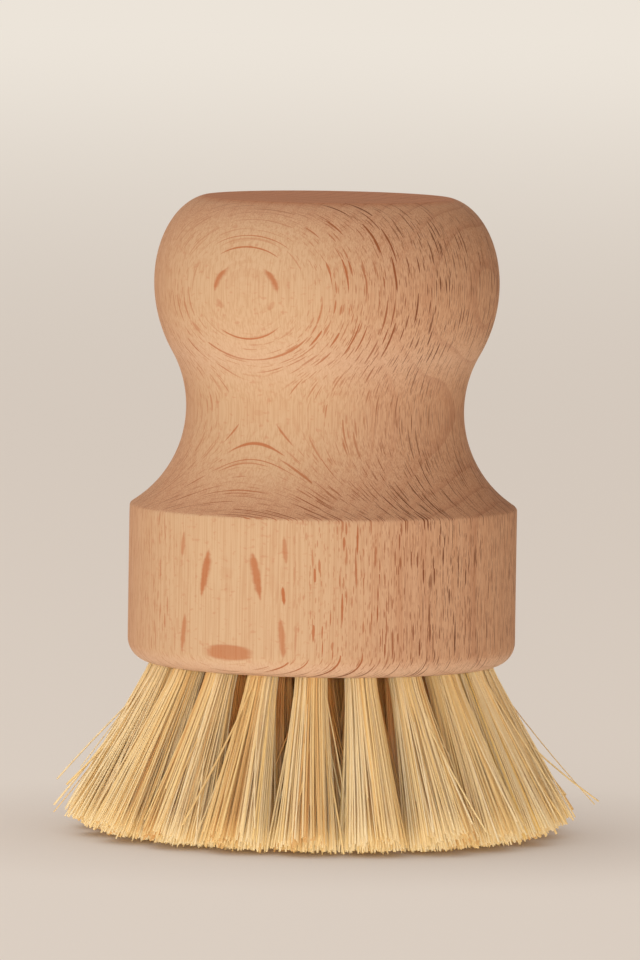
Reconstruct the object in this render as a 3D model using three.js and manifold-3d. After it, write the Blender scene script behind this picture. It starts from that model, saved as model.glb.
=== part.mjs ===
// Palm dish brush: a turned beech block whose drilled underside holds rings of splayed plant-fibre tufts.
// Each tuft is a bunch of fibre folded over a wire staple, and the staple's legs are driven into the wood
// at the bottom of the tuft's hole.
// Millimetres, +Z up. Z is the turning axis, the bristle tips stand on z = 0, and -Y is the front.

import * as THREE from "three";
import { mergeGeometries, mergeVertices, toCreasedNormals } from "three/addons/utils/BufferGeometryUtils.js";
import Module from "manifold-3d";

// Turned block
const DRUM_RADIUS = 30;
const DRUM_HEIGHT = 24.4;
const FOOT_ROUND = 3.6; // rounding of the drum's lower edge
const ARRIS_BREAK = 0.7; // sanding of the shoulder's sharp edge
const NECK_RADIUS = 21.5;
const NECK_RISE = 15; // from the shoulder up to the narrowest place
const KNOB_RADIUS = 26.7;
const KNOB_RISE = 19.6; // from the narrowest to the widest place
const CROWN_RISE = 13.2; // from the widest place to the flat top
const CROWN_ACROSS = 9; // half axes of the crown's elliptical edge
const CROWN_UP = 13.4;
const TURNING_SIDES = 48;
const ARC_STEPS = 3;

// Bristle field
const BRISTLE_DROP = 26.5; // from the block's underside down to the surface that it stands on
const TRIM = 0.5; // that upright strands lose where they are cut level
const FAN_OUT = 8.4; // degrees that the edge of a tuft leans from its middle, away from the axis
const FAN_ASIDE = 5.4; // and along the ring
const FIRST_TUFT = -3.5; // degrees of the front tuft from -Y, towards +X
const RINGS = [
  { name: "outer", radius: 23.8, tufts: 20, splay: 22 },
  { name: "middle", radius: 16.2, tufts: 14, splay: 13 },
  { name: "inner", radius: 8.3, tufts: 7, splay: 6 },
  { name: "centre", radius: 0, tufts: 1, splay: 0 },
];
const STRAND_CIRCLES = [
  { strands: 1, share: 0 },
  { strands: 7, share: 0.74 },
];
const STRAND_SIDES = 3;
const STRAND_ROOT = 0.72; // circumradius of a lock of fibre where it leaves the hole
const STRAND_TIP = 1.25;

// Tuft holes, roots and staples
const GAP = 0.3; // between pieces that seat on each other
const HOLE_RADIUS = 2.5;
const HOLE_DEPTH = 11;
const HOLE_SIDES = 8;
const ROOT_WIDTH = 3.5; // of the folded bunch, across the staple's crown
const FOLD_ROUND = 1; // shoulder of the fold at the root's inner end
const BACKING = 1.2; // thickness of the slice of backing that carries a ring of tufts
const BACKING_SIDES = 32;
const WIRE = 0.7;
const STAPLE_SPAN = 3; // between the middles of the legs
const CROWN_DEPTH = 6.4; // middle of the staple's crown, from the hole's mouth
const LEG_DEPTH = 14.6; // ends of the legs, from the hole's mouth

// Heights and curves that follow from these
const STRAND_LENGTH = BRISTLE_DROP + TRIM;
const UNDERSIDE_Z = BRISTLE_DROP;
const SHOULDER_Z = UNDERSIDE_Z + DRUM_HEIGHT;
const NECK_Z = SHOULDER_Z + NECK_RISE;
const KNOB_Z = NECK_Z + KNOB_RISE;
const TOP_Z = KNOB_Z + CROWN_RISE;
const FLARE = DRUM_RADIUS - NECK_RADIUS;
const HOLLOW_RADIUS = (FLARE ** 2 + NECK_RISE ** 2) / (2 * FLARE); // an arc from the neck to the shoulder
const HOLLOW_X = NECK_RADIUS + HOLLOW_RADIUS;
const OVERHANG = HOLLOW_X - KNOB_RADIUS;
const KNOB_UNDER = // an arc from the widest place that runs on into the hollow
  (OVERHANG ** 2 + KNOB_RISE ** 2 - HOLLOW_RADIUS ** 2) / (2 * (HOLLOW_RADIUS - OVERHANG));
const KNOB_UNDER_X = KNOB_RADIUS - KNOB_UNDER;
const RECESS_RADIUS = DRUM_RADIUS - FOOT_ROUND + 2 * GAP;

const wood = new THREE.MeshStandardMaterial({ color: 0xd8a983, roughness: 0.62, metalness: 0 });
const fibre = new THREE.MeshStandardMaterial({ color: 0xd9bd86, roughness: 0.75, metalness: 0 });
const steel = new THREE.MeshStandardMaterial({ color: 0xb4b7ba, roughness: 0.35, metalness: 1 });

const wasm = await Module();
wasm.setup();

// A closed geometry as a solid that can be joined and cut.
function solid(geometry) {
  const bare = geometry.clone();
  bare.deleteAttribute("normal");
  bare.deleteAttribute("uv");
  const merged = mergeVertices(bare, 1e-4);
  const corners = [];
  for (let i = 0; i < merged.index.count; i += 3) {
    const [a, b, c] = merged.index.array.subarray(i, i + 3);
    if (a !== b && b !== c && c !== a) corners.push(a, b, c);
  }
  const mesh = new wasm.Mesh({
    numProp: 3,
    vertProperties: merged.attributes.position.array,
    triVerts: new Uint32Array(corners),
  });
  return new wasm.Manifold(mesh);
}

// The solid's faces as a geometry with creased normals.
function geometryOf(made) {
  const { vertProperties, triVerts } = made.getMesh();
  const geometry = new THREE.BufferGeometry();
  geometry.setAttribute("position", new THREE.BufferAttribute(vertProperties, 3));
  geometry.setIndex(new THREE.BufferAttribute(triVerts, 1));
  return toCreasedNormals(geometry, THREE.MathUtils.degToRad(30));
}

function joined(solids) {
  return solids.reduce((all, next) => all.add(next));
}

// A profile of [radius, height] points turned about Z.
function turned(points, sides) {
  const profile = points.map(([x, y]) => new THREE.Vector2(x, y));
  return new THREE.LatheGeometry(profile, sides).rotateX(Math.PI / 2);
}

function box(width, depth, low, high) {
  return new THREE.BoxGeometry(width, depth, high - low).translate(0, 0, (low + high) / 2);
}

// Half the block's outline, from the axis at the underside to the axis at the flat top.
function blockProfile() {
  const footX = DRUM_RADIUS - FOOT_ROUND;
  const arrisX = DRUM_RADIUS - ARRIS_BREAK;
  const arrisZ = NECK_Z - Math.sqrt(HOLLOW_RADIUS ** 2 - (HOLLOW_X - arrisX) ** 2);
  const hollowStart = Math.PI * 2 + Math.atan2(arrisZ - NECK_Z, arrisX - HOLLOW_X);
  const hollowEnd = Math.atan2(KNOB_RISE, KNOB_UNDER_X - HOLLOW_X);
  const crownEnd = Math.asin(CROWN_RISE / CROWN_UP);
  const path = new THREE.Path();
  path.moveTo(0, UNDERSIDE_Z);
  path.lineTo(footX, UNDERSIDE_Z);
  path.absarc(footX, UNDERSIDE_Z + FOOT_ROUND, FOOT_ROUND, -Math.PI / 2, 0, false);
  path.lineTo(DRUM_RADIUS, SHOULDER_Z - ARRIS_BREAK);
  path.quadraticCurveTo(DRUM_RADIUS, SHOULDER_Z, arrisX, arrisZ);
  path.absarc(HOLLOW_X, NECK_Z, HOLLOW_RADIUS, hollowStart, hollowEnd, true);
  path.absarc(KNOB_UNDER_X, KNOB_Z, KNOB_UNDER, hollowEnd - Math.PI, 0, false);
  path.absellipse(KNOB_RADIUS - CROWN_ACROSS, KNOB_Z, CROWN_ACROSS, CROWN_UP, 0, crownEnd, false);
  path.lineTo(0, TOP_Z);
  return path.getPoints(ARC_STEPS).map((p) => [p.x, p.y]);
}

// Where each tuft sits: a group at the hole's mouth whose +Z runs up the hole, into the wood.
function seats(ring) {
  const splay = THREE.MathUtils.degToRad(ring.splay);
  return Array.from({ length: ring.tufts }, (_, i) => {
    const turn = THREE.MathUtils.degToRad(FIRST_TUFT + (i * 360) / ring.tufts - 90);
    const seat = new THREE.Group();
    seat.position.set(ring.radius * Math.cos(turn), ring.radius * Math.sin(turn), UNDERSIDE_Z);
    seat.rotation.set(0, -splay, turn, "ZYX");
    seat.updateMatrix();
    return seat;
  });
}

// A drilled blind hole with the two slits that the staple's legs cut in its bottom.
function holeSolid(seat) {
  const below = -HOLE_RADIUS; // far enough to leave the underside all round a leaning hole
  const drill = turned(
    [[0, below], [HOLE_RADIUS, below], [HOLE_RADIUS, HOLE_DEPTH], [0, HOLE_DEPTH]],
    HOLE_SIDES,
  );
  const slit = box(WIRE + 2 * GAP, WIRE + 2 * GAP, HOLE_DEPTH - WIRE, LEG_DEPTH + GAP);
  const slits = [-1, 1].map((side) => slit.clone().translate(0, (side * STAPLE_SPAN) / 2, 0));
  return joined([drill, ...slits].map((cut) => solid(cut.applyMatrix4(seat.matrix))));
}

// The block is turned, its underside is let in for the backing slices, and the holes are drilled.
function block() {
  const ceiling = UNDERSIDE_Z + BACKING + GAP;
  const recess = turned(
    [[0, 0], [RECESS_RADIUS, 0], [RECESS_RADIUS, ceiling], [0, ceiling]],
    TURNING_SIDES,
  );
  const cuts = [solid(recess), ...RINGS.flatMap(seats).map(holeSolid)];
  return solid(turned(blockProfile(), TURNING_SIDES)).subtract(joined(cuts));
}

// The folded root of a tuft, pinched between the staple's legs, with an eye where the crown goes through.
// Its lower end stops level inside the backing, however much the tuft leans.
function rootGeometry(ring) {
  const splay = THREE.MathUtils.degToRad(ring.splay);
  const half = ROOT_WIDTH / 2;
  const end = HOLE_DEPTH - GAP;
  const level = (x) => (BACKING / 2 - x * Math.sin(splay)) / Math.cos(splay);
  const outline = new THREE.Shape();
  outline.moveTo(-half, level(-half));
  outline.lineTo(half, level(half));
  outline.lineTo(half, end - FOLD_ROUND);
  outline.lineTo(half - FOLD_ROUND, end);
  outline.lineTo(-half + FOLD_ROUND, end);
  outline.lineTo(-half, end - FOLD_ROUND);
  outline.closePath();
  const eye = WIRE / 2 + GAP;
  const corners = [[-eye, -eye], [-eye, eye], [eye, eye], [eye, -eye]];
  outline.holes.push(new THREE.Path(corners.map(([x, y]) => new THREE.Vector2(x, CROWN_DEPTH + y))));
  const depth = STAPLE_SPAN - WIRE - 2 * GAP;
  const root = new THREE.ExtrudeGeometry(outline, { depth, bevelEnabled: false });
  return root.translate(0, 0, -depth / 2).rotateX(Math.PI / 2);
}

// One lock of fibre: a slim prism from the root to a tip that is trimmed level.
function strand(root, tip) {
  const ring = (centre, radius) =>
    Array.from({ length: STRAND_SIDES }, (_, i) => {
      const turn = (i * 2 * Math.PI) / STRAND_SIDES;
      return [centre.x + radius * Math.cos(turn), centre.y + radius * Math.sin(turn), centre.z];
    });
  const faces = [];
  for (let i = 0; i < STRAND_SIDES; i++) {
    const next = (i + 1) % STRAND_SIDES;
    faces.push(STRAND_SIDES + i, STRAND_SIDES + next, next, STRAND_SIDES + i, next, i);
  }
  for (let i = 1; i < STRAND_SIDES - 1; i++) {
    faces.push(0, i, i + 1, STRAND_SIDES, STRAND_SIDES + i + 1, STRAND_SIDES + i);
  }
  const corners = [...ring(root, STRAND_ROOT), ...ring(tip, STRAND_TIP)].flat();
  const geometry = new THREE.BufferGeometry();
  geometry.setAttribute("position", new THREE.Float32BufferAttribute(corners, 3));
  return geometry.setIndex(faces);
}

// A tuft's strands, which fan out from the root. Local +X is away from the brush's axis.
function tuftStrands(ring) {
  const rootRadius = HOLE_RADIUS - GAP;
  const rootZ = UNDERSIDE_Z + BACKING / 2;
  const strands = STRAND_CIRCLES.flatMap(({ strands: count, share }) =>
    Array.from({ length: count }, (_, i) => {
      const turn = (i * 2 * Math.PI) / count;
      const out = share * Math.cos(turn);
      const aside = share * Math.sin(turn);
      const lean = THREE.MathUtils.degToRad(ring.splay + FAN_OUT * out);
      const slew = THREE.MathUtils.degToRad(FAN_ASIDE * aside);
      const root = new THREE.Vector3(ring.radius + rootRadius * out, rootRadius * aside, rootZ);
      const heading = new THREE.Vector3(Math.tan(lean), Math.tan(slew), -1).normalize();
      const reach = Math.min(STRAND_LENGTH + BACKING / 2, rootZ / -heading.z);
      return strand(root, root.clone().addScaledVector(heading, reach));
    }),
  );
  return mergeGeometries(strands);
}

// A ring of tufts on its slice of the backing.
function bristleRing(ring, index) {
  const between = (a, b) => (a.radius + b.radius) / 2;
  const outside = index === 0 ? RECESS_RADIUS - GAP : between(RINGS[index - 1], ring) - GAP / 2;
  const inside = index === RINGS.length - 1 ? 0 : between(ring, RINGS[index + 1]) + GAP / 2;
  const top = UNDERSIDE_Z + BACKING;
  const section = [[inside, UNDERSIDE_Z], [outside, UNDERSIDE_Z], [outside, top], [inside, top]];
  if (inside > 0) section.push(section[0]);
  const slice = solid(turned(section, BACKING_SIDES));
  const strands = tuftStrands(ring);
  const root = rootGeometry(ring);
  const tufts = seats(ring).flatMap((seat) => {
    const turn = new THREE.Matrix4().makeRotationZ(seat.rotation.z);
    return [solid(root.clone().applyMatrix4(seat.matrix)), solid(strands.clone().applyMatrix4(turn))];
  });
  return joined([slice, ...tufts]);
}

// A staple of square wire: a crown with two legs, cut as one flat outline.
function stapleGeometry() {
  const half = STAPLE_SPAN / 2;
  const outline = new THREE.Shape();
  const low = CROWN_DEPTH - WIRE / 2;
  outline.moveTo(-half - WIRE / 2, low);
  outline.lineTo(half + WIRE / 2, low);
  outline.lineTo(half + WIRE / 2, LEG_DEPTH - WIRE);
  outline.lineTo(half - WIRE / 2, LEG_DEPTH); // the legs' ends are cut on a slant, to bite
  outline.lineTo(half - WIRE / 2, low + WIRE);
  outline.lineTo(-half + WIRE / 2, low + WIRE);
  outline.lineTo(-half + WIRE / 2, LEG_DEPTH);
  outline.lineTo(-half - WIRE / 2, LEG_DEPTH - WIRE);
  outline.closePath();
  const wire = new THREE.ExtrudeGeometry(outline, { depth: WIRE, bevelEnabled: false });
  return wire.translate(0, 0, -WIRE / 2).rotateX(Math.PI / 2).rotateZ(Math.PI / 2);
}

function piece(name, geometry, material) {
  const mesh = new THREE.Mesh(geometry, material);
  mesh.name = name;
  return mesh;
}

const brush = new THREE.Group();
brush.add(piece("handle_block", geometryOf(block()), wood));
RINGS.forEach((ring, index) => {
  brush.add(piece(`${ring.name}_bristles`, geometryOf(bristleRing(ring, index)), fibre));
  seats(ring).forEach((seat, i) => {
    const number = String(i + 1).padStart(2, "0");
    seat.add(piece(`${ring.name}_staple_${number}`, stapleGeometry(), steel));
    brush.add(seat);
  });
});

export default brush;
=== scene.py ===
"""Looks of the palm dish brush: a turned beech block, tufts of plant fibre, wire staples and a plain studio.

Sizes of the brush are written in millimetres and turned into metres where a mesh is made. Those of the
studio are in metres. Z is the turning axis, the bristle tips stand on z = 0 and -Y is the front, as in the
frame.
"""

import math

import bpy
import numpy as np
from mathutils import Euler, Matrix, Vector, geometry


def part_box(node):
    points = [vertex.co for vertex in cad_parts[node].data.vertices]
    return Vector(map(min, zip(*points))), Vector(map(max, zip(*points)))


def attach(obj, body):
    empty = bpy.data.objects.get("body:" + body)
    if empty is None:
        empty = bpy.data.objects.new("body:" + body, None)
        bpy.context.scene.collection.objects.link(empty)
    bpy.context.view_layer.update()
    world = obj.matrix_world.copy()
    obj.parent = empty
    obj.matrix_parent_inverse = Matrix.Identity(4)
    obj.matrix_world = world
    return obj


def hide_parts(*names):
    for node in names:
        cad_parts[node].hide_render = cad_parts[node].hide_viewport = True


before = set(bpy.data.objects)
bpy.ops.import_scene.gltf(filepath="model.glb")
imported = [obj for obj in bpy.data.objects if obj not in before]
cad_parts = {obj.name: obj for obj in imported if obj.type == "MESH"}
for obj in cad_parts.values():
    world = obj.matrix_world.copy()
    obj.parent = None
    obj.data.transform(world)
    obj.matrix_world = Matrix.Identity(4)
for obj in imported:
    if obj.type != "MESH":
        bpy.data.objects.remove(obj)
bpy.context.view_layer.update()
rng = np.random.default_rng(20)
MM = 0.001
UP = np.array((0.0, 0.0, 1.0))

# Photograph's camera
IMAGE_HEIGHT = 960
FOCAL_PIXELS = 11300
CAMERA_DISTANCE = 1750
CAMERA_RISE = 4.3  # degrees above the point that it looks at
CAMERA_ROLL = 0.9
LOOK_AT = (-0.6, 0, 54.8)

# Turned block, as in the frame
block_low, block_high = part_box("handle_block")
DRUM_RADIUS = (block_high.x - block_low.x) / 2 / MM
TOP = block_high.z / MM
UNDERSIDE = 26.5
DRUM_HEIGHT = 24.4
FOOT_ROUND = 3.6
ARRIS_BREAK = 0.3  # a little crisper than the solid's
NECK_RADIUS = 21.5
NECK_RISE = 15
KNOB_RADIUS = 26.7
KNOB_RISE = 19.6
CROWN_ACROSS = 9
CROWN_UP = 13.4
SHOULDER = UNDERSIDE + DRUM_HEIGHT
NECK = SHOULDER + NECK_RISE
KNOB = NECK + KNOB_RISE
FLAT_RADIUS = DRUM_RADIUS - FOOT_ROUND

# Fineness of the block's mesh
TURNING_SIDES = 224
OUTLINE_STEP = 0.5
FEWEST_STEPS = 4  # in an arc
ARRIS_STEPS = 8
WALL_STEP = 1
TOP_STEP = 1.5
RIM_LOOPS = (0.12, 0.4)  # distances from the crown, where loops keep the edge of the flat top crisp
LAST_LOOP = 0.8  # radius of the loop around the middle of the top
HOLE_SIDES = 24
MERGE_DISTANCE = 1e-6
ALL_TRIANGLES = 0  # output type of the triangulation
SHARP_ANGLE = 35  # degrees

# Traces of sanding and use
LONG_RIPPLE = 0.03
SHORT_RIPPLE = 0.02
RIPPLE_FADE = 10  # radius below which the ripples fade
EDGE_WEAR = 0.1
EDGE_WIDTH = 0.4

# Tufts, as in the frame, with the spread of each ring's fibres and their number
HOLE_RADIUS = 2.5
HOLE_DEPTH = 11
FIRST_TUFT = -3.5  # degrees from the front
RINGS = (
    {"name": "outer", "radius": 23.8, "tufts": 20, "splay": 22, "fan": 1, "fibres": 380},
    {"name": "middle", "radius": 16.2, "tufts": 14, "splay": 13, "fan": 1.4, "fibres": 250},
    {"name": "inner", "radius": 8.3, "tufts": 7, "splay": 6, "fan": 1.4, "fibres": 250},
    {"name": "centre", "radius": 0, "tufts": 1, "splay": 0, "fan": 1.4, "fibres": 250},
)

# Fibres. Angles are in degrees, and a jitter is a standard deviation.
FIBRE_RADIUS = 0.13
RADIUS_JITTER = 0.2  # as a share of that radius
RADIUS_LIMITS = (0.6, 1.6)
FIBRE_SIDES = 5
FIBRE_STEPS = 8
FIBRE_LENGTH = 27  # from the hole's mouth, about
IN_HOLE = 5  # how far a fibre is followed into its hole
ROOT_RADIUS = 2.3
SPOT_JITTER = 0.03  # of a fibre's place in its tuft, as a share of the tuft's radius
GOLDEN_ANGLE = math.pi * (3 - math.sqrt(5))  # in radians
LOCKS = 13  # clumps that the fibres of a tuft gather in
LOCK_SPREAD = 0.85
LOCK_PULL = 0.3  # the most that a fibre is drawn towards the middle of its lock
LOCK_TONE = 0.6  # share of a fibre's tone that its lock has in common
TUFT_CORE = 0.4  # share of a tuft's radius inside which a fibre lies deep
TUFT_SURFACE = 0.9  # and beyond which it lies open
FAN_OUT = 8.6  # angle that a tuft's edge leans from its middle, away from the axis
FAN_ASIDE = 6.0  # and along the ring
FAN_EASE = 2.5  # length over which the fibres turn from the hole's direction to their own
TUFT_JITTER = 0.7
FIBRE_JITTER = 0.9
BOW_JITTER = 0.35
STRAY_SHARE = 0.032
STRAY_LOOSENESS = 7  # how much more a stray fibre leans about
STRAY_BEND = 0.7  # power of that looseness by which it bows more
FLAT_LEAN = 11  # lean up to which the tips are trimmed level
EDGE_LEAN = 30.4
TIP_DOME = 2.6  # how far above the floor the tips are trimmed at the edge's lean
DOME_LIMIT = 1.3  # share of the way to that lean beyond which they rise no more
LENGTH_JITTER = 0.35
SHORTENING = 0.2  # by which fibres fall short, on average
BROKEN_SHARE = 0.04
BROKEN_OFF = (1, 7)  # range of the lengths that are lost
TRIM_JITTER = 0.25
TRIM_ROUNDS = 3
BESIDE_FIBRES = (0.31, 0.95, 0.05)  # a direction that no fibre runs in
# Fibres of the outer ring that stand out: tuft, lean, slew, the tip's bow away and aside, and its height.
STRAYS = (
    (5, 24, 0, 15, 0, 5.8),
    (15, 47, 2, -2, 0, 8.0),
    (16, 38, -3, 3, 0, 8.0),
    (2, 20, 27, 0, 1.5, 2.0),
    (18, 21, -23, 0, 0, 3.0),
    (0, 25, 17, 1, -1, 0.8),
)

# Texture map of a fibre: its sides and its tip, as shares of its strip's width and of the map's height
STRIP_WIDTH = 0.9
SIDES_HEIGHT = 0.96
TIP_MIDDLE = 0.985
TIP_HALF_WIDTH = 0.4
TIP_HALF_HEIGHT = 0.012


def polar(angle, radius):
    """Point at an angle in degrees from the front, towards +X."""
    turn = math.radians(angle)
    return radius * math.sin(turn), -radius * math.cos(turn)


def added(name, data):
    """A new object in the scene."""
    item = bpy.data.objects.new(name, data)
    bpy.context.scene.collection.objects.link(item)
    return item


# Turned block


def along_arc(centre, radii, start, end):
    """Points on an elliptical arc, from one angle to another in degrees, without its first point."""
    sweep = math.radians(end - start)
    count = max(FEWEST_STEPS, round(abs(sweep) * max(radii) / OUTLINE_STEP))
    turns = math.radians(start) + sweep * np.arange(1, count + 1) / count
    return [(centre[0] + radii[0] * math.cos(t), centre[1] + radii[1] * math.sin(t)) for t in turns]


def along_line(start, end, step):
    """Points on a line, without its first point."""
    count = max(1, round(math.dist(start, end) / step))
    shares = np.arange(1, count + 1) / count
    return [tuple(np.add(start, np.subtract(end, start) * s)) for s in shares]


def along_bend(start, corner, end, count):
    """Points on a curve that rounds off a corner, without its first point."""
    points = []
    for t in np.arange(1, count + 1) / count:
        weights = ((1 - t) ** 2, 2 * t * (1 - t), t**2)
        points.append(tuple(np.dot(weights, (start, corner, end))))
    return points


def block_profile():
    """Radius and height along the turned outline, from the underside's edge to near the middle of the top."""
    flare = DRUM_RADIUS - NECK_RADIUS
    hollow = (flare**2 + NECK_RISE**2) / (2 * flare)
    hollow_x = NECK_RADIUS + hollow
    overhang = hollow_x - KNOB_RADIUS
    under = (overhang**2 + KNOB_RISE**2 - hollow**2) / (2 * (hollow - overhang))
    arris_x = DRUM_RADIUS - ARRIS_BREAK
    arris_z = NECK - math.sqrt(hollow**2 - (hollow_x - arris_x) ** 2)
    hollow_start = 360 + math.degrees(math.atan2(arris_z - NECK, arris_x - hollow_x))
    hollow_end = math.degrees(math.atan2(KNOB_RISE, KNOB_RADIUS - under - hollow_x))
    crown_end = math.degrees(math.asin((TOP - KNOB) / CROWN_UP))
    points = [(FLAT_RADIUS, UNDERSIDE)]
    points += along_arc((FLAT_RADIUS, UNDERSIDE + FOOT_ROUND), (FOOT_ROUND, FOOT_ROUND), -90, 0)
    points += along_line(points[-1], (DRUM_RADIUS, SHOULDER - ARRIS_BREAK), WALL_STEP)
    points += along_bend(points[-1], (DRUM_RADIUS, SHOULDER), (arris_x, arris_z), ARRIS_STEPS)
    points += along_arc((hollow_x, NECK), (hollow, hollow), hollow_start, hollow_end)
    points += along_arc((KNOB_RADIUS - under, KNOB), (under, under), hollow_end - 180, 0)
    points += along_arc((KNOB_RADIUS - CROWN_ACROSS, KNOB), (CROWN_ACROSS, CROWN_UP), 0, crown_end)
    rim_radius = points[-1][0]
    points += [(rim_radius - distance, TOP) for distance in RIM_LOOPS]
    points += along_line(points[-1], (LAST_LOOP, TOP), TOP_STEP)
    return np.array(points)


def worn(rho, height, turn):
    """Small unevenness of hand sanding, and the softened shoulder edge."""
    ripple = LONG_RIPPLE * np.sin(2 * turn + 0.6) + SHORT_RIPPLE * np.sin(5 * turn + height / 9)
    edge = np.exp(-(((height - SHOULDER) / EDGE_WIDTH) ** 2))
    nibbled = 0.5 + 0.5 * np.sin(23 * turn + 2 * np.sin(7 * turn)) * np.sin(11 * turn + 1.3)
    return rho + ripple * np.minimum(1, rho / RIPPLE_FADE) - EDGE_WEAR * edge * nibbled


def seats(ring):
    """For each tuft of a ring: the middle of its hole's mouth, and the directions away from the axis, along
    the ring and up the hole."""
    splay = math.radians(ring["splay"])
    found = []
    for i in range(ring["tufts"]):
        angle = FIRST_TUFT + i * 360 / ring["tufts"]
        mouth = np.array((*polar(angle, ring["radius"]), UNDERSIDE))
        out = np.array((*polar(angle, 1), 0))
        aside = np.cross(UP, out)
        up_hole = -math.sin(splay) * out + math.cos(splay) * UP
        found.append((mouth, out, aside, up_hole))
    return found


def drilled_underside(rim):
    """The flat underside between the rim's points and the holes: its points, its triangles, the new number of
    each given point, and the holes, each with its given points, mouth and direction."""
    turns = np.arange(HOLE_SIDES) * 2 * math.pi / HOLE_SIDES
    places = [p[:2] for p in rim]
    holes = []
    for ring in RINGS:
        long = HOLE_RADIUS / math.cos(math.radians(ring["splay"]))
        for mouth, out, aside, up_hole in seats(ring):
            start = len(places)
            for t in turns:
                places.append((mouth + long * math.cos(t) * out + HOLE_RADIUS * math.sin(t) * aside)[:2])
            holes.append((range(start, start + HOLE_SIDES), mouth, up_hole))
    loops = [range(len(rim))] + [hole[0] for hole in holes]
    edges = [(loop[i - 1], loop[i]) for loop in loops for i in range(len(loop))]
    corners = [Vector(p) for p in places]
    flat, _, cells, origins, _, _ = geometry.delaunay_2d_cdt(
        corners, edges, [], ALL_TRIANGLES, MERGE_DISTANCE
    )
    renumbered = {old: new for new, olds in enumerate(origins) for old in olds}
    hole_of = {renumbered[i]: k for k, hole in enumerate(holes) for i in hole[0]}
    # A triangle whose corners all belong to one hole lies in its mouth and is left out.
    triangles = [c for c in cells if len({hole_of.get(i, -1 - i) for i in c}) > 1]
    return flat, triangles, renumbered, holes


def turned_faces(rows):
    """Faces between neighbouring rows of the turned surface."""
    faces = []
    for j in range(rows - 1):
        low = j * TURNING_SIDES
        high = low + TURNING_SIDES
        for i in range(TURNING_SIDES):
            k = (i + 1) % TURNING_SIDES
            faces.append((low + i, low + k, high + k, high + i))
    return faces


def add_hole(verts, faces, edge, mouth, up_hole):
    """The wall and the bottom of a blind hole."""
    ends = range(len(verts), len(verts) + HOLE_SIDES)
    for i in edge:
        rise = HOLE_DEPTH - np.dot(np.subtract(verts[i], mouth), up_hole)
        verts.append(tuple(np.add(verts[i], rise * up_hole)))
    for i in range(HOLE_SIDES):
        faces.append((edge[i - 1], edge[i], ends[i], ends[i - 1]))
    faces.append(tuple(reversed(ends)))


def block_mesh():
    """The block: a turned outline of fine steps, closed below by the drilled underside."""
    profile = block_profile()
    turn = np.arange(TURNING_SIDES) * 2 * math.pi / TURNING_SIDES
    rho = worn(profile[:, :1], profile[:, 1:], turn[None, :])
    rho[0] = FLAT_RADIUS
    height = np.broadcast_to(profile[:, 1:], rho.shape)
    verts = np.stack([rho * np.cos(turn), rho * np.sin(turn), height], -1).reshape(-1, 3).tolist()
    faces = turned_faces(len(profile))
    last_row = len(verts) - TURNING_SIDES
    middle = len(verts)
    verts.append((0, 0, TOP))
    for i in range(TURNING_SIDES):
        faces.append((last_row + i, last_row + (i + 1) % TURNING_SIDES, middle))
    flat, triangles, renumbered, holes = drilled_underside(verts[:TURNING_SIDES])
    number = {renumbered[i]: i for i in range(TURNING_SIDES)}
    for i, place in enumerate(flat):
        if i not in number:
            number[i] = len(verts)
            verts.append((*place, UNDERSIDE))
    faces += [tuple(number[i] for i in reversed(t)) for t in triangles]
    for loop, mouth, up_hole in holes:
        add_hole(verts, faces, [number[renumbered[i]] for i in loop], mouth, up_hole)
    return verts, faces


# Fibres


def root_spots(count):
    """Places of a tuft's fibres, away from the axis and aside, spread over a circle of radius 1 by the golden
    angle."""
    order = np.arange(count) + 0.5
    turn = order * GOLDEN_ANGLE + rng.uniform(0, 2 * math.pi)
    spot = np.sqrt(order / count)[:, None] * np.stack([np.cos(turn), np.sin(turn)], -1)
    return spot + rng.normal(0, SPOT_JITTER, spot.shape)


def in_locks(spot):
    """The lock of each fibre, and the fibre's place once it is drawn towards the middle of that lock."""
    middles = rng.uniform(-1, 1, (LOCKS, 2)) * LOCK_SPREAD
    lock = np.argmin(((spot[:, None] - middles[None]) ** 2).sum(-1), 1)
    pull = rng.uniform(0.0, LOCK_PULL, (len(spot), 1))
    return lock, spot * (1 - pull) + middles[lock] * pull


def depth(spot):
    """1 for the fibres in the core of a tuft and behind it, falling to 0 at its sides and outer surface. It
    sets how much shade is painted on each fibre.
    """
    off = np.hypot(np.maximum(spot[:, 0], 0), spot[:, 1])
    return np.clip((TUFT_SURFACE - off) / (TUFT_SURFACE - TUFT_CORE), 0, 1)


def tip_heights(lean):
    """Heights at which the tips are trimmed: level in the middle and rising towards the brush's edge."""
    share = np.clip((lean - FLAT_LEAN) / (EDGE_LEAN - FLAT_LEAN), 0, DOME_LIMIT)
    return TIP_DOME * share**2


def uneven(length):
    """Lengths that differ a little, with a few fibres broken off."""
    count = len(length)
    length = length + rng.normal(0, LENGTH_JITTER, count) - rng.exponential(SHORTENING, count)
    broken = rng.random(count) < BROKEN_SHARE
    return length - broken * rng.uniform(*BROKEN_OFF, count)


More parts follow.
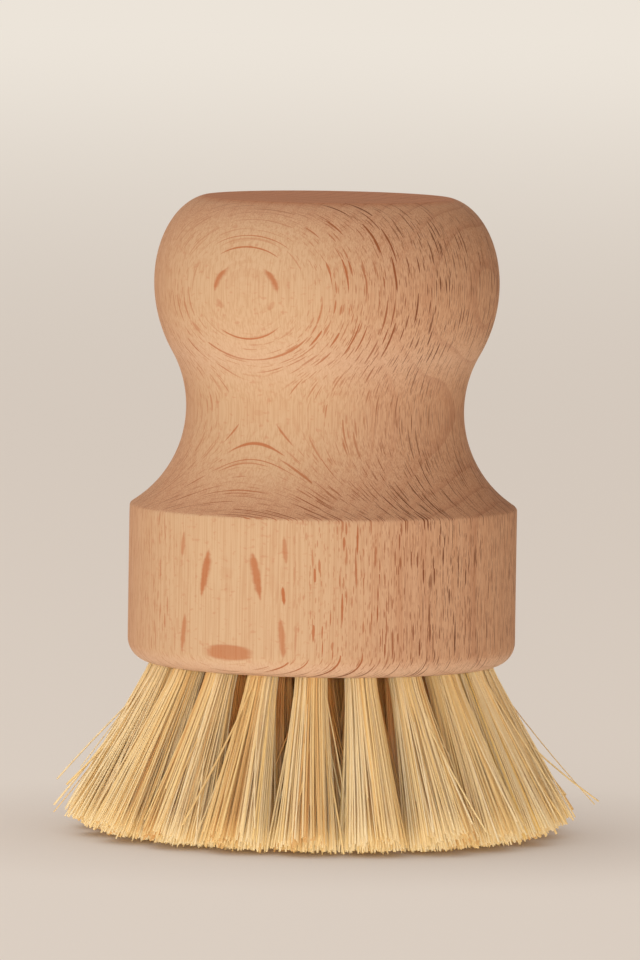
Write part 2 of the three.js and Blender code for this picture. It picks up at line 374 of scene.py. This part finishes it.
def fibre_paths(ring, seat, strays):
    """Points along every fibre of one tuft, from inside its hole to its tip, the lock that each belongs to,
    and its shade depth, how far inside the tuft it lies, for the painted shade. The given strays take the
    place of the first fibres."""
    mouth, out, aside, up_hole = seat
    count = ring["fibres"]
    first = slice(len(strays))
    spot = root_spots(count)
    lock, gathered = in_locks(spot)
    fan = ring["fan"] * gathered
    loose = np.where(rng.random(count) < STRAY_SHARE, STRAY_LOOSENESS, 1)
    shade_depth = depth(spot)
    shade_depth[loose > 1] = 0
    shade_depth[first] = 0
    lean = ring["splay"] + rng.normal(0, TUFT_JITTER) + FAN_OUT * fan[:, 0]
    lean += rng.normal(0, FIBRE_JITTER, count) * loose
    slew = rng.normal(0, TUFT_JITTER) + FAN_ASIDE * fan[:, 1]
    slew += rng.normal(0, FIBRE_JITTER, count) * loose
    bow = rng.normal(0, BOW_JITTER, (count, 2)) * loose[:, None] ** STRAY_BEND
    tips = tip_heights(lean)
    for i, (_, stray_lean, stray_slew, *stray_bow, height) in enumerate(strays):
        lean[i], slew[i], bow[i], tips[i] = stray_lean, stray_slew, stray_bow, height
    heading = np.tan(np.radians(lean))[:, None] * out + np.tan(np.radians(slew))[:, None] * aside - UP
    heading /= np.linalg.norm(heading, axis=1)[:, None]
    root = mouth + ROOT_RADIUS * (spot[:, :1] * np.cross(aside, up_hole) + spot[:, 1:] * aside)
    full_length = (UNDERSIDE - tips) / -heading[:, 2]
    length = uneven(full_length)
    length[first] = full_length[first]
    lowest = FIBRE_RADIUS + np.abs(rng.normal(0, TRIM_JITTER, count))

    def at(s):
        """Points at lengths from the hole's mouth, which are negative inside the hole."""
        outside = np.maximum(s, 0)
        ease = outside / (outside + FAN_EASE)
        curl = ((outside / FIBRE_LENGTH) ** 2)[..., None]
        straight = -s[..., None] * up_hole
        turned = (heading[:, None] + up_hole) * (s * ease)[..., None]
        bowed = bow[:, None, :1] * curl * out + bow[:, None, 1:] * curl * aside
        return root[:, None] + straight + turned + bowed

    for _ in range(TRIM_ROUNDS):
        height = at(length[:, None])[:, 0, 2]
        over = height < lowest
        length[over] *= ((UNDERSIDE - lowest) / (UNDERSIDE - height))[over]
    steps = np.linspace(0, 1, FIBRE_STEPS + 1)
    return at(-IN_HOLE + (length + IN_HOLE)[:, None] * steps), lock, shade_depth


def tubes(paths, radius):
    """Vertices, side faces and tip faces of tubes along the paths."""
    count, rows = paths.shape[:2]
    along = np.gradient(paths, axis=1)
    along /= np.linalg.norm(along, axis=-1, keepdims=True)
    side = np.cross(along, BESIDE_FIBRES)
    side /= np.linalg.norm(side, axis=-1, keepdims=True)
    front = np.cross(along, side)
    turn = np.arange(FIBRE_SIDES) * 2 * math.pi / FIBRE_SIDES
    ring = side[:, :, None] * np.cos(turn)[:, None] + front[:, :, None] * np.sin(turn)[:, None]
    verts = paths[:, :, None] + ring * radius[:, None, None, None]
    index = np.arange(count * rows * FIBRE_SIDES).reshape(count, rows, FIBRE_SIDES)
    following = np.roll(index, -1, axis=2)
    sides = np.stack([index[:, :-1], following[:, :-1], following[:, 1:], index[:, 1:]], -1).reshape(-1, 4)
    return verts.reshape(-1, 3), sides, index[:, -1]


def strip_map(mesh, count):
    """A texture map in which each fibre has a strip of its own, its tip's face at the strip's upper end."""
    cells = np.meshgrid(np.arange(count), np.arange(FIBRE_STEPS), np.arange(FIBRE_SIDES), indexing="ij")
    column, row, side = cells
    corner_u = np.array((0, 1, 1, 0)).reshape(4, 1, 1, 1)
    corner_v = np.array((0, 0, 1, 1)).reshape(4, 1, 1, 1)
    margin = (1 - STRIP_WIDTH) / 2
    u = (column + (side + corner_u) / FIBRE_SIDES * STRIP_WIDTH + margin) / count
    v = (row + corner_v) / FIBRE_STEPS * SIDES_HEIGHT
    body = np.stack([u, v], -1).reshape(4, -1, 2).transpose(1, 0, 2).reshape(-1, 2)
    turn = np.arange(FIBRE_SIDES) * 2 * math.pi / FIBRE_SIDES
    tip_u = (np.arange(count)[:, None] + 0.5 + TIP_HALF_WIDTH * np.cos(turn)) / count
    tip_v = np.broadcast_to(TIP_MIDDLE + TIP_HALF_HEIGHT * np.sin(turn), tip_u.shape)
    tips = np.stack([tip_u, tip_v], -1).reshape(-1, 2)
    layer = mesh.uv_layers.new(name="OFBake")
    layer.data.foreach_set("uv", np.concatenate([body, tips]).astype(np.float32).ravel())


def tuft_mesh(name, ring, seat, strays):
    """The fibres of one tuft, with each one's tone, reach along it and depth in the tuft as attributes; the
    depth sets the painted shade.
    """
    paths, lock, shade_depth = fibre_paths(ring, seat, strays)
    count = len(paths)
    radius = FIBRE_RADIUS * np.clip(rng.normal(1, RADIUS_JITTER, count), *RADIUS_LIMITS)
    verts, sides, tips = tubes(paths, radius)
    mesh = bpy.data.meshes.new(name)
    mesh.from_pydata((verts * MM).tolist(), [], sides.tolist() + tips.tolist())
    tone = LOCK_TONE * rng.random(LOCKS)[lock] + (1 - LOCK_TONE) * rng.random(count)
    per_fibre = (FIBRE_STEPS + 1) * FIBRE_SIDES
    attributes = {
        "tone": np.repeat(tone, per_fibre),
        "reach": np.tile(np.repeat(np.linspace(0, 1, FIBRE_STEPS + 1), FIBRE_SIDES), count),
        "shade_depth": np.repeat(shade_depth, per_fibre),
    }
    for label, values in attributes.items():
        mesh.attributes.new(label, "FLOAT", "POINT").data.foreach_set("value", values.astype(np.float32))
    strip_map(mesh, count)
    smooth = np.arange(len(mesh.polygons)) < len(sides)
    mesh.polygons.foreach_set("use_smooth", smooth)
    return mesh


# Shader nodes


def socket(tree, value, target):
    """Links a socket's value into the target, or sets a plain value on it."""
    if isinstance(value, bpy.types.NodeSocket):
        tree.links.new(value, target)
    else:
        target.default_value = value


def new_material(name, specular):
    material = bpy.data.materials.new(name)
    material.use_nodes = True
    shader = material.node_tree.nodes["Principled BSDF"]
    shader.inputs["Specular IOR Level"].default_value = specular
    return material, material.node_tree, shader


def maths(tree, operation, *values):
    node = tree.nodes.new("ShaderNodeMath")
    node.operation = operation
    for value, target in zip(values, node.inputs):
        socket(tree, value, target)
    return node.outputs[0]


def times(tree, first, *others):
    for other in others:
        first = maths(tree, "MULTIPLY", first, other)
    return first


def vectors(tree, operation, *values):
    """A vector operation, which gives a number where it measures a length or a dot product."""
    node = tree.nodes.new("ShaderNodeVectorMath")
    node.operation = operation
    for value, target in zip(values, node.inputs):
        socket(tree, value, target)
    return node.outputs["Value" if operation in ("LENGTH", "DOT_PRODUCT") else "Vector"]


def ranged(tree, value, low, high, to_low=0.0, to_high=1.0):
    """Smooth step of a value between two limits."""
    node = tree.nodes.new("ShaderNodeMapRange")
    node.interpolation_type = "SMOOTHSTEP"
    for given, target in zip((value, low, high, to_low, to_high), node.inputs):
        socket(tree, given, target)
    return node.outputs[0]


def noise(tree, place, scale, detail=2.0, roughness=0.5):
    """Noise from 0 to 1 at a place, with a scale for each direction."""
    node = tree.nodes.new("ShaderNodeTexNoise")
    node.inputs["Scale"].default_value = 1.0
    node.inputs["Detail"].default_value = detail
    node.inputs["Roughness"].default_value = roughness
    tree.links.new(vectors(tree, "MULTIPLY", place, scale), node.inputs["Vector"])
    return node.outputs["Fac"]


def mixed(tree, share, first, second):
    """A colour between two others."""
    node = tree.nodes.new("ShaderNodeMix")
    node.data_type = "RGBA"
    for value, target in ((share, node.inputs[0]), (first, node.inputs[6]), (second, node.inputs[7])):
        socket(tree, value, target)
    return node.outputs[2]


def tinted(tree, base, tint, *masks):
    """A base under a tint, which is a colour and the most that it covers, where the masks let it show."""
    shade, most = tint
    return mixed(tree, times(tree, *masks, most), base, shade)


def split(tree, vector):
    node = tree.nodes.new("ShaderNodeSeparateXYZ")
    socket(tree, vector, node.inputs[0])
    return node.outputs[0], node.outputs[1], node.outputs[2]


def attribute(tree, name):
    node = tree.nodes.new("ShaderNodeAttribute")
    node.attribute_name = name
    return node.outputs["Fac"]


def colour(red, green, blue):
    """A colour given in screen values from 0 to 255."""
    values = (red / 255, green / 255, blue / 255)
    return tuple(v / 12.92 if v <= 0.04045 else ((v + 0.055) / 1.055) ** 2.4 for v in values) + (1.0,)


# Beech. Its rays are thin plates square to the direction RAY_FACE, in degrees from the front.
RAY_FACE = -28.2
RAY_LEAN = 0.03  # how far the large plates lean back as they go down
RAY_LAYERS = (
    {"cell": (1.4, 24, 5.0), "half": (0.10, 12.0, 2.6), "shift": 3.7, "share": 0.75, "strength": 1.0},
    {"cell": (0.85, 12, 2.8), "half": (0.085, 6.0, 1.4), "shift": 41.3, "share": 0.65, "strength": 1.0},
    {"cell": (0.5, 6, 1.6), "half": (0.055, 3.0, 0.78), "shift": 77.9, "share": 0.45, "strength": 0.75},
    {"cell": (0.34, 3.2, 1.2), "half": (0.045, 1.6, 0.55), "shift": 19.1, "share": 0.6, "strength": 0.6},
)
RAY_GIRTHS = (0.6, 1.4)  # range of the scattered plates' thickness, as shares of the layer's
RAY_HEIGHTS = (0.5, 1.25)
RAY_TONES = (0.6, 1.0)
RAGGEDNESS = 0.5
BLUNT_LENGTH = 3.0  # how square the plates' ends are along them
FADED = 1.1  # share of a plate's half size at which its edge has faded
# Large single plates just under the surface: place across, along and up, half sizes, and strength.
LARGE_RAYS = (
    ((29.67, 0.0, 42.0), (0.15, 9.0, 4.1), 0.85),
    ((30.0, 0.1, 30.0), (0.36, 9.0, 1.55), 0.72),
    ((28.74, 0.2, 32.5), (0.23, 15.0, 3.6), 0.7),
    ((28.66, 0.2, 46.2), (0.20, 15.0, 2.4), 0.6),
    ((28.72, 8.5, 39.2), (0.11, 3.0, 1.6), 1.0),
    ((26.18, 0.0, 86.7), (0.20, 7.0, 2.2), 0.85),
    ((26.18, 0.0, 83.2), (0.16, 7.0, 0.9), 0.4),
    ((25.57, 0.0, 91.8), (0.06, 6.0, 2.2), 0.9),
    ((24.80, 0.5, 93.2), (0.05, 8.0, 2.4), 0.8),
    ((25.35, 0.6, 78.0), (0.06, 6.5, 2.4), 0.9),
    ((23.75, 0.0, 82.6), (0.18, 15.0, 3.2), 0.8),
    ((21.25, 0.0, 71.0), (0.07, 9.0, 2.0), 0.8),
    ((21.25, 0.0, 62.9), (0.07, 9.0, 1.8), 0.8),
    ((22.02, 0.0, 61.5), (0.09, 6.0, 2.4), 0.9),
    ((22.80, 0.0, 58.6), (0.05, 10.0, 3.2), 0.8),
    ((21.5, 0.0, 66.4), (0.10, 0.9, 0.6), 0.2),
)
GRAIN_SWAY = 0.9
RING_SPACING = 2.6
RING_WANDER = 5.0
PITH = (10, -95, 0)  # of the tree, outside the block
YEAR_END = 0.97  # share of a year's growth at which the dark line starts to end

# Wood where the plates are cut across and where they lie flat, and its tints with the most that each covers
CUT_WOOD = colour(207, 169, 136)
FLAT_WOOD = colour(210, 182, 146)
BLOTCH = (colour(206, 157, 119), 0.3)
VESSEL_LINE = (colour(190, 142, 104), 0.45)
PORE = (colour(160, 104, 70), 0.36)
SPECK = (colour(194, 132, 98), 0.35)
LATE_WOOD = (colour(178, 112, 78), 0.13)
# darker faces turned up: partly the end grain's own tone, partly painted shade on the top
END_GRAIN_AND_SHADE = (colour(180, 102, 56), 0.48)
# painted light: paler where the faces turn down, as light from the floor falls there
PAINTED_BOUNCE_LIGHT = (colour(232, 208, 184), 0.4)
RING_LINE = (colour(128, 72, 46), 0.14)
RAY_COVER = 0.9
CUT_RAY = colour(92, 48, 28)
FLAT_RAY = colour(180, 106, 63)
RELIEF = 0.05  # depth of the vessel lines
RAY_RELIEF = 0.8  # and of the flecks, as a share of it
RELIEF_STRENGTH = 0.4


def grain_place(tree):
    """Place in millimetres, with X across the ray plates, Y along them and Z up the grain: swaying as the
    grain does, and straight. Also the direction that the surface faces."""
    place = tree.nodes.new("ShaderNodeTexCoord")
    turned = tree.nodes.new("ShaderNodeMapping")
    turned.inputs["Rotation"].default_value = (0, 0, math.radians(90 - RAY_FACE))
    turned.inputs["Scale"].default_value = (1 / MM, 1 / MM, 1 / MM)
    tree.links.new(place.outputs["Object"], turned.inputs["Vector"])
    straight = turned.outputs[0]
    drift = noise(tree, straight, (0.03, 0.05, 0.045), 1.0)
    sway = times(tree, maths(tree, "SUBTRACT", drift, 0.5), GRAIN_SWAY)
    offset = tree.nodes.new("ShaderNodeCombineXYZ")
    tree.links.new(sway, offset.inputs[0])
    return vectors(tree, "ADD", straight, offset.outputs[0]), straight, place.outputs["Normal"]


def power_of(tree, distance, half, power):
    share = maths(tree, "ABSOLUTE", maths(tree, "DIVIDE", distance, half))
    return maths(tree, "POWER", share, power)


def ray_mask(tree, across, along, up, half, ragged, solid, blunt):
    """1 inside a plate of the given half sizes, falling to 0 at its ragged edge. Solid is where the fall
    starts, as a share of the half size, and blunt is how square the upper and lower ends are."""
    thick = maths(tree, "DIVIDE", maths(tree, "ABSOLUTE", across), half[0])
    long = power_of(tree, along, half[1], BLUNT_LENGTH)
    high = power_of(tree, up, half[2], blunt)
    total = maths(tree, "ADD", maths(tree, "ADD", thick, long), maths(tree, "ADD", high, ragged))
    return ranged(tree, total, solid, FADED, 1.0, 0.0)


def ray_layer(tree, place, ragged, girth, cell, half, shift, share, strength):
    """Scattered ray plates, one or none in each cell."""
    scaled = vectors(tree, "ADD", vectors(tree, "DIVIDE", place, cell), (shift, shift / 2, shift / 3))
    node = tree.nodes.new("ShaderNodeTexVoronoi")
    node.inputs["Scale"].default_value = 1.0
    tree.links.new(scaled, node.inputs["Vector"])
    apart = vectors(tree, "MULTIPLY", vectors(tree, "SUBTRACT", scaled, node.outputs["Position"]), cell)
    across, along, up = split(tree, apart)
    chance, bulk, tone = split(tree, node.outputs["Color"])
    thick = times(tree, ranged(tree, bulk, 0.0, 1.0, *RAY_GIRTHS), girth, half[0])
    high = times(tree, ranged(tree, tone, 0.0, 1.0, *RAY_HEIGHTS), half[2])
    mask = ray_mask(tree, across, along, up, (thick, half[1], high), ragged, solid=0.75, blunt=2.0)
    kept = maths(tree, "LESS_THAN", chance, share)
    return times(tree, mask, kept, ranged(tree, tone, 0.0, 1.0, *RAY_TONES), strength)


def scattered_share(tree, straight, square):
    """How strongly the scattered plates show: less where they lie flat in the surface or are cut square,
    towards the left, at the neck and on the crown above the large ones."""
    _, along, up = split(tree, straight)
    flat = ranged(tree, square, 0.88, 0.97, 1.0, 0.12)
    cut = ranged(tree, square, 0.08, 0.3, 0.7, 1.0)
    left = ranged(tree, along, -24, -4, 0.35, 1.0)
    from_neck = maths(tree, "ABSOLUTE", maths(tree, "SUBTRACT", up, NECK))
    neck = ranged(tree, from_neck, 3, 12, 0.7, 1.0)
    above = times(tree, ranged(tree, up, KNOB, KNOB + 8), ranged(tree, along, 12, 4))
    crown = ranged(tree, above, 0.0, 1.0, 1.0, 0.45)
    return times(tree, flat, cut, left, neck, crown)


def ray_flecks(tree, place, straight, square):
    """All ray plates together. The scattered ones are thinner where they lie flat in the surface."""
    rough = noise(tree, place, (1.6, 0.2, 1.6))
    ragged = times(tree, maths(tree, "SUBTRACT", rough, 0.5), RAGGEDNESS)
    girth = ranged(tree, square, 0.5, 0.95, 1.15, 0.85)
    rays = 0.0
    for layer in RAY_LAYERS:
        rays = maths(tree, "MAXIMUM", rays, ray_layer(tree, place, ragged, girth, **layer))
    rays = times(tree, rays, scattered_share(tree, straight, square))
    for centre, half, strength in LARGE_RAYS:
        across, along, up = split(tree, vectors(tree, "SUBTRACT", straight, centre))
        across = maths(tree, "MULTIPLY_ADD", up, -RAY_LEAN, across)
        plate = ray_mask(tree, across, along, up, half, ragged, solid=0.45, blunt=3.0)
        rays = maths(tree, "MAXIMUM", rays, times(tree, plate, strength))
    return rays


def year_rings(tree, place):
    """Late wood in arcs about a far pith: how far the season has gone, and the dark line where it ends."""
    from_pith = vectors(tree, "SUBTRACT", vectors(tree, "MULTIPLY", place, (1, 1, 0)), PITH)
    wander = times(tree, noise(tree, place, (0.05, 0.06, 0.02), 1.0), RING_WANDER)
    distance = maths(tree, "ADD", vectors(tree, "LENGTH", from_pith), wander)
    season = maths(tree, "FRACT", maths(tree, "DIVIDE", distance, RING_SPACING))
    ended = ranged(tree, season, 1.0, YEAR_END)
    late = times(tree, ranged(tree, season, 0.55, YEAR_END), ended)
    line = times(tree, ranged(tree, season, 0.78, YEAR_END), ended)
    return late, line


def beech():
    """Bare beech: ray flecks, fine vessel lines, faint growth rings, darker end grain on the top that is
    partly painted shade, and painted pale light from below on faces turned down.
    """
    material, tree, shader = new_material("beech", specular=0.03)
    place, straight, normal = grain_place(tree)
    square = maths(tree, "ABSOLUTE", vectors(tree, "DOT_PRODUCT", normal, (*polar(RAY_FACE, 1), 0)))
    face_on = ranged(tree, square, 0.55, 1.0)
    side_on = maths(tree, "SUBTRACT", 1.0, face_on)
    turned_away = ranged(tree, square, 0.6, 0.15)
    upward = split(tree, normal)[2]
    facing_up = ranged(tree, upward, 0.86, 1.0)
    end_rings = ranged(tree, facing_up, 0.0, 1.0, 1.0, 2.0)
    # faces turned down, where light from the floor is painted
    bounce_lit_foot = ranged(tree, upward, -0.1, -0.8)
    rays = ray_flecks(tree, place, straight, square)
    late, line = year_rings(tree, place)
    lines = noise(tree, place, (4.2, 4.2, 0.06), 2.0, 0.55)
    pores = noise(tree, place, (6.5, 6.5, 0.45), 1.0)
    specks = noise(tree, place, (1.2, 0.9, 1.5), 1.0)
    blotches = noise(tree, place, (0.09, 0.09, 0.035))
    wood = mixed(tree, face_on, CUT_WOOD, FLAT_WOOD)
    wood = tinted(tree, wood, BLOTCH, blotches)
    wood = tinted(tree, wood, VESSEL_LINE, ranged(tree, lines, 0.4, 0.66))
    wood = tinted(tree, wood, PORE, ranged(tree, pores, 0.48, 0.66), side_on)
    wood = tinted(tree, wood, SPECK, ranged(tree, specks, 0.6, 0.74), face_on)
    wood = tinted(tree, wood, LATE_WOOD, late, side_on)
    # the top: end grain, darkened further by painted shade
    wood = tinted(tree, wood, END_GRAIN_AND_SHADE, facing_up)
    # painted bounce light from the floor on the drum's lower rounding
    wood = tinted(tree, wood, PAINTED_BOUNCE_LIGHT, bounce_lit_foot)
    wood = tinted(tree, wood, RING_LINE, line, turned_away, end_rings)
    fleck = mixed(tree, ranged(tree, square, 0.3, 0.95), CUT_RAY, FLAT_RAY)
    wood = tinted(tree, wood, (fleck, RAY_COVER), rays)
    socket(tree, wood, shader.inputs["Base Color"])
    bump = tree.nodes.new("ShaderNodeBump")
    bump.inputs["Strength"].default_value = RELIEF_STRENGTH
    bump.inputs["Distance"].default_value = RELIEF * MM
    socket(tree, maths(tree, "SUBTRACT", lines, times(tree, rays, RAY_RELIEF)), bump.inputs["Height"])
    tree.links.new(bump.outputs["Normal"], shader.inputs["Normal"])
    socket(tree, ranged(tree, lines, 0.3, 0.8, 0.52, 0.7), shader.inputs["Roughness"])
    return material


# Fibre and wire

FIBRE_TONES = (
    (0.0, colour(213, 162, 104)),
    (0.2, colour(232, 196, 134)),
    (0.34, colour(243, 216, 156)),
    (0.7, colour(247, 232, 192)),
    (1.0, colour(242, 208, 126)),
)
FIBRE_STREAK = (colour(226, 188, 126), 0.2)
# painted shade on the fibres inside a tuft, short of their tips
PAINTED_FIBRE_SHADE = (colour(214, 146, 80), 0.65)
# Painted shade towards the roots, under the block on the outer ring and inside the brush on the inner rings,
# and how far along the fibre it ends
OUTER_ROOT_SHADE = (colour(226, 184, 116), 0.2)
OUTER_ROOT_END = 0.8
INNER_ROOT_SHADE = (colour(252, 168, 78), 0.8)
INNER_ROOT_END = 1.0
ROOT_FULL = 0.3  # how far along it is full
DARK_WIRE = colour(176, 178, 182)
LIGHT_WIRE = colour(204, 205, 207)


def tone_ramp(tree):
    """The colour of a fibre for its tone."""
    ramp = tree.nodes.new("ShaderNodeValToRGB")
    stops = ramp.color_ramp.elements
    while len(stops) < len(FIBRE_TONES):
        stops.new(0.5)
    for stop, (position, shade) in zip(stops, FIBRE_TONES):
        stop.position = position
        stop.color = shade
    tree.links.new(attribute(tree, "tone"), ramp.inputs[0])
    return ramp.outputs[0]


def plant_fibre(name, root, root_end):
    """Straw-coloured fibre whose tone differs from strand to strand and a little along each, with painted
    shade inside the tuft and towards the roots.
    """
    material, tree, shader = new_material(name, specular=0.05)
    place = tree.nodes.new("ShaderNodeTexCoord").outputs["Object"]
    streak = noise(tree, place, (3000, 3000, 160))
    reach = attribute(tree, "reach")
    below_tip = ranged(tree, reach, 0.97, 0.8)
    straw = tinted(tree, tone_ramp(tree), FIBRE_STREAK, ranged(tree, streak, 0.35, 0.75))
    # painted shade on the fibres inside the tuft
    straw = tinted(tree, straw, PAINTED_FIBRE_SHADE, attribute(tree, "shade_depth"), below_tip)
    # painted shade towards the roots
    straw = tinted(tree, straw, root, ranged(tree, reach, root_end, ROOT_FULL))
    socket(tree, straw, shader.inputs["Base Color"])
    socket(tree, ranged(tree, streak, 0.3, 0.7, 0.42, 0.6), shader.inputs["Roughness"])
    return material


def staple_wire():
    """Dull drawn wire with fine lines along it."""
    material, tree, shader = new_material("staple_wire", specular=0.5)
    shader.inputs["Metallic"].default_value = 1.0
    place = tree.nodes.new("ShaderNodeTexCoord").outputs["Object"]
    lines = noise(tree, place, (6000, 6000, 300))
    socket(tree, mixed(tree, lines, DARK_WIRE, LIGHT_WIRE), shader.inputs["Base Color"])
    socket(tree, ranged(tree, lines, 0.3, 0.7, 0.3, 0.5), shader.inputs["Roughness"])
    return material


# Pieces


def add_piece(name, mesh, material, slot, *nodes):
    """A piece of the brush that stands for CAD nodes."""
    piece = added(name, mesh)
    mesh.materials.append(material)
    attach(piece, "root")
    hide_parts(*nodes)


def add_block():
    verts, faces = block_mesh()
    mesh = bpy.data.meshes.new("turned_block")
    mesh.from_pydata((np.array(verts) * MM).tolist(), [], faces)
    mesh.shade_smooth()
    mesh.set_sharp_from_angle(angle=math.radians(SHARP_ANGLE))
    add_piece("turned_block", mesh, beech(), "beech", "handle_block")


def add_tufts():
    outer = plant_fibre("plant_fibre", OUTER_ROOT_SHADE, OUTER_ROOT_END)
    inner = plant_fibre("shaded_fibre", INNER_ROOT_SHADE, INNER_ROOT_END)
    for ring in RINGS:
        at_edge = ring["name"] == "outer"
        for i, seat in enumerate(seats(ring)):
            name = f"{ring['name']}_tuft_{i + 1:02d}"
            strays = [s for s in STRAYS if at_edge and s[0] == i]
            mesh = tuft_mesh(name, ring, seat, strays)
            add_piece(name, mesh, outer if at_edge else inner, "fibre", f"{ring['name']}_bristles")


def finish_staples():
    material = staple_wire()
    for name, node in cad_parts.items():
        if "_staple_" in name:
            node.data.materials.clear()
            node.data.materials.append(material)


# Studio, in metres and watts

PALE = colour(236, 228, 217)
# painted shadow in the backdrop's glow, tinted warm for light from the fibres
SHADOW = colour(96, 62, 38)  # under the brush, warmed by the fibres
FILL = (0.27, 0.165, 0.118, 1)  # light from all sides
FLOOR_HALF = 12
FLOOR_ROUGHNESS = 0.75
SHADOW_REACH = 0.06
BACKDROP_START = 0.2  # distance from the brush at which the floor starts to turn into the backdrop
BACKDROP_END = 3.5
BACKDROP_NEAR = 0.55  # share of the backdrop in the floor before that distance
LAMPS = (
    {"name": "key", "azimuth": -40, "elevation": 37, "distance": 1.5, "size": (1.4, 1.4), "power": 6.4},
    {"name": "front", "azimuth": -0.5, "elevation": 4.3, "distance": 1.6, "size": (0.2, 0.2), "power": 6.4},
    {"name": "low", "azimuth": -25, "elevation": 1.5, "distance": 0.7, "size": (1.2, 0.12), "power": 0.42},
    {"name": "top", "azimuth": -118, "elevation": 64, "distance": 1.2, "size": (0.7, 0.7), "power": 2.8},
)
BOUNCE_PLACE = (-0.12, -0.4, 0.0001)
BOUNCE_SIZE = 1.0
BOUNCE_POWER = 1.9
BOUNCE_COLOUR = (1.0, 0.92, 0.82)


def add_camera():
    camera = added("camera", bpy.data.cameras.new("camera"))
    camera.data.lens = FOCAL_PIXELS * camera.data.sensor_width / IMAGE_HEIGHT
    rise = math.radians(CAMERA_RISE)
    back = Vector((0, -math.cos(rise), math.sin(rise)))
    camera.location = (Vector(LOOK_AT) + back * CAMERA_DISTANCE) * MM
    upright = (-back).to_track_quat("-Z", "Y")
    roll = Euler((0, 0, math.radians(CAMERA_ROLL))).to_quaternion()
    camera.rotation_euler = (upright @ roll).to_euler()
    bpy.context.scene.camera = camera


def add_lamp(name, azimuth, elevation, distance, size, power):
    """A soft white lamp that faces the brush."""
    lamp = added(name, bpy.data.lights.new(name, "AREA"))
    lamp.data.shape = "RECTANGLE"
    lamp.data.size = size[0]
    lamp.data.size_y = size[1]
    lamp.data.energy = power
    lamp.visible_camera = False
    rise = math.radians(elevation)
    away = Vector((*polar(azimuth, math.cos(rise)), math.sin(rise)))
    lamp.location = Vector((0, 0, TOP / 2 * MM)) + away * distance
    lamp.rotation_euler = away.to_track_quat("Z", "Y").to_euler()


def add_bounce_card():
    """A soft lamp that lies on the floor before the brush and faces up, as a pale floor sends light back."""
    card = added("bounce", bpy.data.lights.new("bounce", "AREA"))
    card.data.size = BOUNCE_SIZE
    card.data.energy = BOUNCE_POWER
    card.data.color = BOUNCE_COLOUR
    card.visible_camera = False
    card.location = BOUNCE_PLACE
    card.rotation_euler = (math.pi, 0, 0)


def seen_directly(tree):
    """1 for what the camera sees, itself or in a gloss or through glass."""
    path = tree.nodes.new("ShaderNodeLightPath")
    mirrored = maths(tree, "MAXIMUM", path.outputs["Is Glossy Ray"], path.outputs["Is Transmission Ray"])
    return maths(tree, "MAXIMUM", path.outputs["Is Camera Ray"], mirrored)


def floor_finish():
    """Pale floor that turns into the plain backdrop further away. It keeps the brush's cast shadow, and its
    glow has a painted shadow under the brush.
    """
    material, tree, shader = new_material("floor", specular=0.2)
    shader.inputs["Roughness"].default_value = FLOOR_ROUGHNESS
    shader.inputs["Base Color"].default_value = PALE
    place = tree.nodes.new("ShaderNodeTexCoord").outputs["Object"]
    distance = vectors(tree, "LENGTH", place)
    shade = tree.nodes.new("ShaderNodeAmbientOcclusion")
    shade.inputs["Distance"].default_value = SHADOW_REACH
    backdrop = tree.nodes.new("ShaderNodeEmission")
    # painted shadow: the glow turns to SHADOW where ambient occlusion finds the brush near
    socket(tree, mixed(tree, shade.outputs["AO"], SHADOW, PALE), backdrop.inputs["Color"])
    further = ranged(tree, distance, BACKDROP_START, BACKDROP_END, BACKDROP_NEAR, 1.0)
    both = tree.nodes.new("ShaderNodeMixShader")
    socket(tree, times(tree, seen_directly(tree), further), both.inputs[0])
    tree.links.new(shader.outputs[0], both.inputs[1])
    tree.links.new(backdrop.outputs[0], both.inputs[2])
    tree.links.new(both.outputs[0], tree.nodes["Material Output"].inputs["Surface"])
    return material


def add_floor():
    mesh = bpy.data.meshes.new("floor")
    corners = [(x * FLOOR_HALF, y * FLOOR_HALF, 0) for x, y in ((-1, -1), (1, -1), (1, 1), (-1, 1))]
    mesh.from_pydata(corners, [], [(0, 1, 2, 3)])
    floor = added("floor", mesh)
    mesh.materials.append(floor_finish())


def light_world():
    world = bpy.data.worlds.new("studio")
    bpy.context.scene.world = world
    world.use_nodes = True
    tree = world.node_tree
    shade = mixed(tree, seen_directly(tree), FILL, PALE)
    socket(tree, shade, tree.nodes["Background"].inputs["Color"])


add_camera()
add_block()
add_tufts()
finish_staples()
add_floor()
light_world()
for lamp in LAMPS:
    add_lamp(**lamp)
add_bounce_card()
bpy.context.scene.view_settings.view_transform = "Standard"
